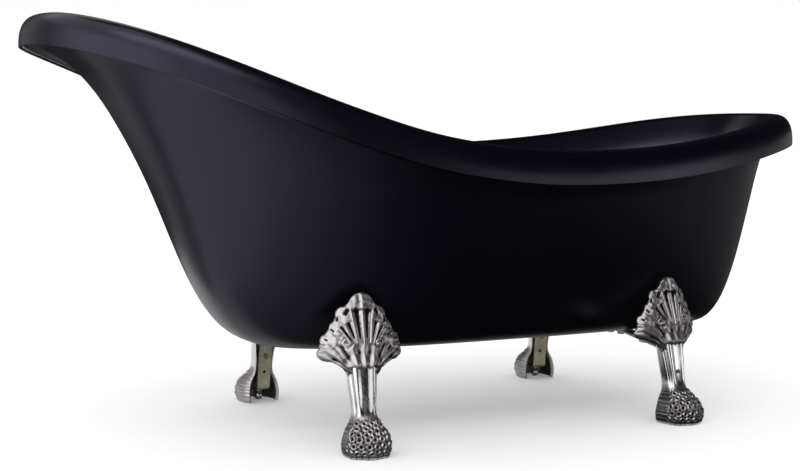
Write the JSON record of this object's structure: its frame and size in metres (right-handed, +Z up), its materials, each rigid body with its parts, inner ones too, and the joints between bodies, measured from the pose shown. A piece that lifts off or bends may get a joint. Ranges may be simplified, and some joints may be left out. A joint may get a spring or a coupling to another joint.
{
  "type": "clawfoot bathtub",
  "caption": "Free-standing double-skinned slipper bath, raised at one end, with a rolled rim and cast lion-paw feet, an overflow and a pop-up waste.",
  "frame": {"origin": "centre of the bath's plan box on the floor", "axes": "+X along the bath from the raised slipper end to the drain end, +Y across to the far side, +Z up"},
  "size_m": [1.6998, 0.74, 0.7951],
  "materials": {
    "shell_acrylic": "near-black, slightly violet cast acrylic with a soft satin gloss",
    "bond": "cured adhesive",
    "board": "raw chipboard",
    "foot_chrome": "polished chrome plate",
    "fitting_chrome": "polished chrome plate",
    "zinc": "steel with a slightly yellow zinc plate",
    "zinc_bright": "bright zinc plate",
    "pad": "pale foam rubber",
    "seal": "black rubber",
    "brass": "turned brass",
    "waste_plastic": "white polypropylene",
    "hose": "grey flexible hose",
    "clip_steel": "spring steel band"
  },
  "bodies": {
    "bath": {"inner_shell": "shell_acrylic", "outer_shell": "shell_acrylic", "rim_bond": "bond", "base_board": "board", "claw_foot_head_near": "foot_chrome", "claw_foot_drain_near": "foot_chrome", "claw_foot_head_far": "foot_chrome", "claw_foot_drain_far": "foot_chrome", "foot_strap_head_near": "zinc", "foot_strap_drain_near": "zinc", "foot_strap_head_far": "zinc", "foot_strap_drain_far": "zinc", "hull_pad_head_near": "pad", "hull_pad_drain_near": "pad", "hull_pad_head_far": "pad", "hull_pad_drain_far": "pad", "strap_bolts": "zinc", "strap_washers": "zinc", "board_inserts": "zinc", "casting_screws": "zinc_bright", "leveller_nuts": "zinc", "flange_seal": "seal", "body_seal": "seal", "overflow_seal": "seal", "overflow_back_seal": "seal", "waste_flange": "fitting_chrome", "overflow_cover": "fitting_chrome", "overflow_screw": "fitting_chrome", "plug_cartridge": "brass", "waste_body": "waste_plastic", "overflow_elbow": "waste_plastic", "overflow_hose": "hose", "hose_clips": "clip_steel"},
    "plug": {"waste_plug": "fitting_chrome", "plug_stem": "brass", "plug_seal": "seal"},
    "levelling_screw_head_near": {"leveller_head_near": "zinc_bright"},
    "levelling_screw_drain_near": {"leveller_drain_near": "zinc_bright"},
    "levelling_screw_head_far": {"leveller_head_far": "zinc_bright"},
    "levelling_screw_drain_far": {"leveller_drain_far": "zinc_bright"}
  },
  "joints": [
    {"name": "plug_slide", "type": "slide", "parent": "bath", "child": "plug", "axis": [0, 0, 1], "range_m": [0, 0.01]},
    {"name": "leveller_slide_head_near", "type": "slide", "parent": "bath", "child": "levelling_screw_head_near", "axis": [0, 0, -1], "range_m": [0, 0.01]},
    {"name": "leveller_slide_drain_near", "type": "slide", "parent": "bath", "child": "levelling_screw_drain_near", "axis": [0, 0, -1], "range_m": [0, 0.01]},
    {"name": "leveller_slide_head_far", "type": "slide", "parent": "bath", "child": "levelling_screw_head_far", "axis": [0, 0, -1], "range_m": [0, 0.01]},
    {"name": "leveller_slide_drain_far", "type": "slide", "parent": "bath", "child": "levelling_screw_drain_far", "axis": [0, 0, -1], "range_m": [0, 0.01]}
  ]
}
